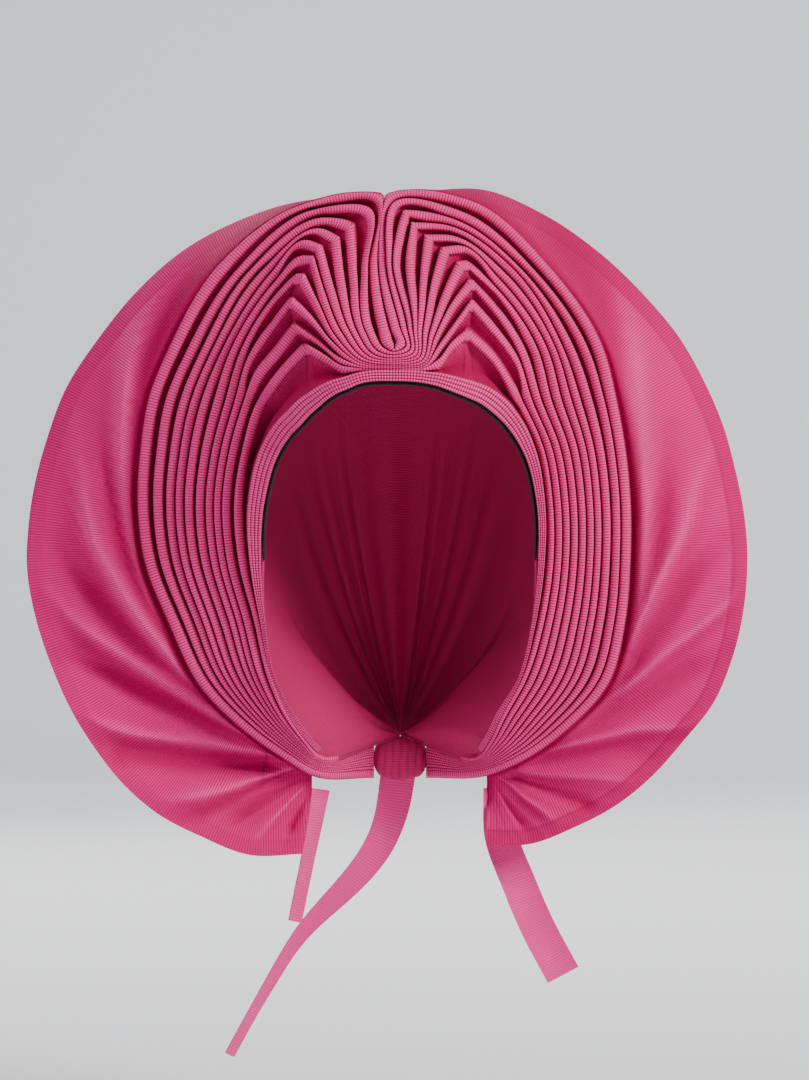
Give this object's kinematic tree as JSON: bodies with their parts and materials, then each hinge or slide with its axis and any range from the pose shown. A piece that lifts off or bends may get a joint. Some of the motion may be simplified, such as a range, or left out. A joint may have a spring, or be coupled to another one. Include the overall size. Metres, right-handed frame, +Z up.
{
  "type": "tied gele head tie",
  "caption": "Tied head tie of stiff ribbed cloth with fanned pleats over the forehead, a flared round rim, a lined face opening, a plain back cap, a nape knot and flat ties.",
  "frame": {"origin": "inside of the back cap's crown, where the head tie sits on the top of the head", "axes": "+Z up, the front with the face opening and the pleats faces -Y, +X to the right in the front view"},
  "size_m": [0.3461, 0.1864, 0.4242],
  "materials": {
    "pink_cloth": "ribbed satin weave",
    "deep_pink_cloth": "ribbed satin weave in shade",
    "black_lining": "matt woven lining"
  },
  "bodies": {
    "root": {"pleated_fan": "pink_cloth", "wing_left": "pink_cloth", "wing_right": "pink_cloth", "forehead_band": "pink_cloth", "edge_lining": "black_lining", "back_cap": "deep_pink_cloth", "nape_knot": "deep_pink_cloth", "tie_right": "pink_cloth", "tie_left_short": "pink_cloth", "tie_left_long": "pink_cloth"}
  },
  "joints": []
}
